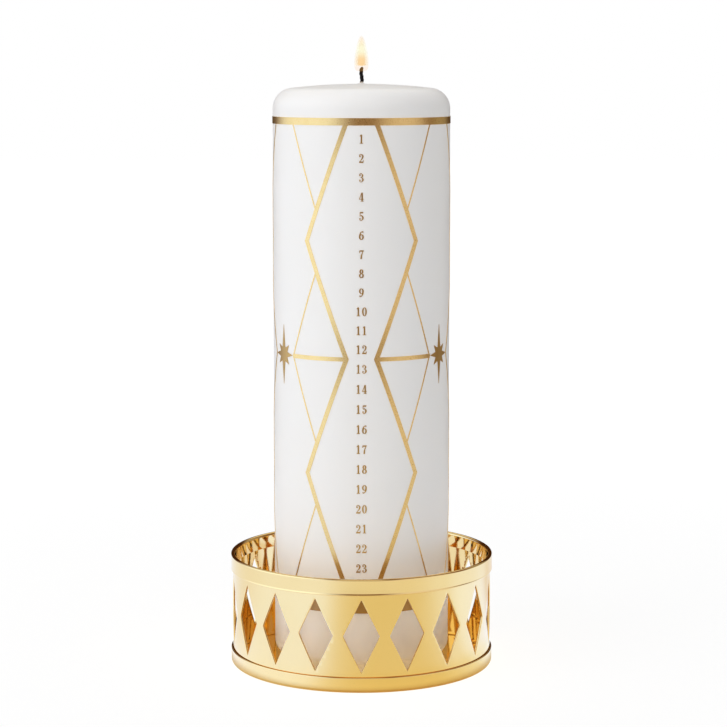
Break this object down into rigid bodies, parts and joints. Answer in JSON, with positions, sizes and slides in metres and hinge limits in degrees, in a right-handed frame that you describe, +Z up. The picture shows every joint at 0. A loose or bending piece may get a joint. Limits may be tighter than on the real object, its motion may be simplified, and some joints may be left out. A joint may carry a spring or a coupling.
{
  "type": "calendar candle in tray",
  "caption": "Pillar candle printed with a gold lozenge lattice and a column of day numbers, standing in a round gold tray with a pierced lozenge gallery.",
  "frame": {"origin": "centre of the tray's flat underside, where it stands on the table", "axes": "+Z up along the candle, -Y towards the front, where the day numbers are, +X to the right as seen from the front"},
  "size_m": [0.0904, 0.0904, 0.2152],
  "materials": {
    "gold_plate": "polished gold plate over sheet brass",
    "paraffin": "pressed paraffin, slightly grainy",
    "dipped_wax": "satin dipped candle wax, white",
    "wick_cotton": "braided cotton, charred where it stands free",
    "tinned_steel": "dull tin plate",
    "gold_foil": "satin gold transfer foil",
    "bronze_foil": "satin bronze-gold transfer foil",
    "flame": "glowing candle flame"
  },
  "bodies": {
    "holder": {"base_dish": "gold_plate", "gallery": "gold_plate", "rim_hoop": "gold_plate"},
    "candle": {"wax_core": "paraffin", "wax_coat": "dipped_wax", "wick": "wick_cotton", "wick_sustainer": "tinned_steel", "upper_band": "gold_foil", "lower_band": "gold_foil", "bold_lines_left": "gold_foil", "bold_lines_right": "gold_foil", "fine_lines": "gold_foil", "stars": "bronze_foil", "flame": "flame"}
  },
  "joints": [
    {"name": "candle_lift", "type": "slide", "parent": "holder", "child": "candle", "axis": [0, 0, 1], "range_m": [0, 0.06]}
  ]
}
